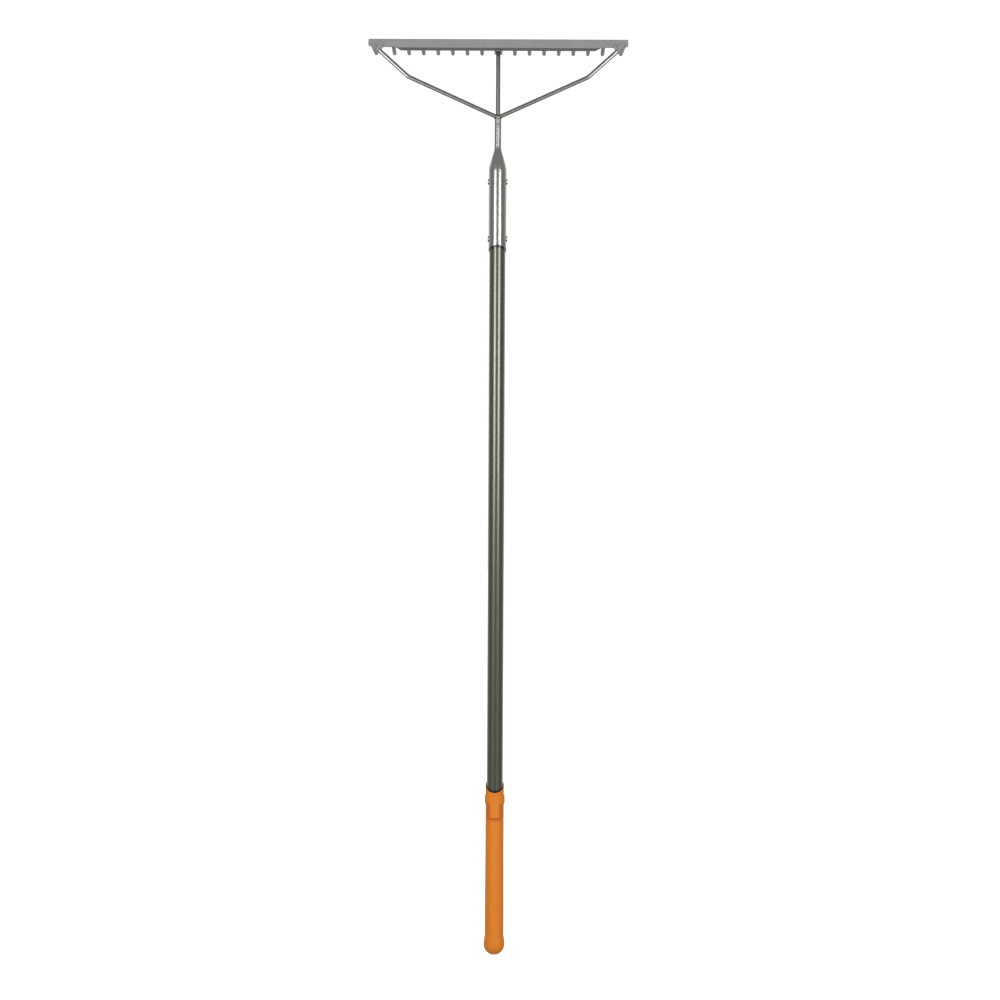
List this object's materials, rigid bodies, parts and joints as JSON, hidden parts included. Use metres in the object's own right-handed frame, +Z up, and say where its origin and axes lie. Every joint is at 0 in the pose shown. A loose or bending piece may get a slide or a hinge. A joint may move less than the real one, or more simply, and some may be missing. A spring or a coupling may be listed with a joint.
{
  "type": "bow rake",
  "caption": "Long-handled bow rake: a flat bar of short stiff round tines on bent rods and a centre rod, with a riveted socket, a tubular handle and a moulded grip.",
  "frame": {"origin": "lowest point of the grip's rounded butt, on the handle's axis", "axes": "+Z up the handle to the head, +X along the head, +Y the way the tines point, -Y out of the flat levelling face"},
  "size_m": [0.476, 0.092, 1.6746],
  "materials": {
    "head_paint": "satin silver-grey coating on forged steel",
    "rod_steel": "satin drawn steel",
    "socket_steel": "satin brushed along the handle",
    "weld_steel": "rippled weld bead under the same coating",
    "rivet_steel": "pressed satin domes",
    "tube_aluminium": "dark grey anodised satin",
    "grip_orange": "soft matt moulded",
    "plug_black": "plain moulded"
  },
  "bodies": {
    "root": {"bow_rod_left": "rod_steel", "bow_rod_right": "rod_steel", "centre_tang": "rod_steel", "centre_tine": "head_paint", "core_plug": "plug_black", "ear_and_tang_welds": "weld_steel", "end_tine_left": "head_paint", "end_tine_right": "head_paint", "grip": "grip_orange", "handle_tube": "tube_aluminium", "head_bar": "head_paint", "neck_weld": "weld_steel", "rivet_lower": "rivet_steel", "rivet_upper": "rivet_steel", "socket": "socket_steel", "tine_01": "head_paint", "tine_02": "head_paint", "tine_03": "head_paint", "tine_04": "head_paint", "tine_05": "head_paint", "tine_06": "head_paint", "tine_07": "head_paint", "tine_08": "head_paint", "tine_09": "head_paint", "tine_10": "head_paint", "tine_11": "head_paint", "tine_12": "head_paint", "tine_13": "head_paint", "tine_14": "head_paint", "tine_welds": "weld_steel", "tube_end_plug": "plug_black"}
  },
  "joints": []
}
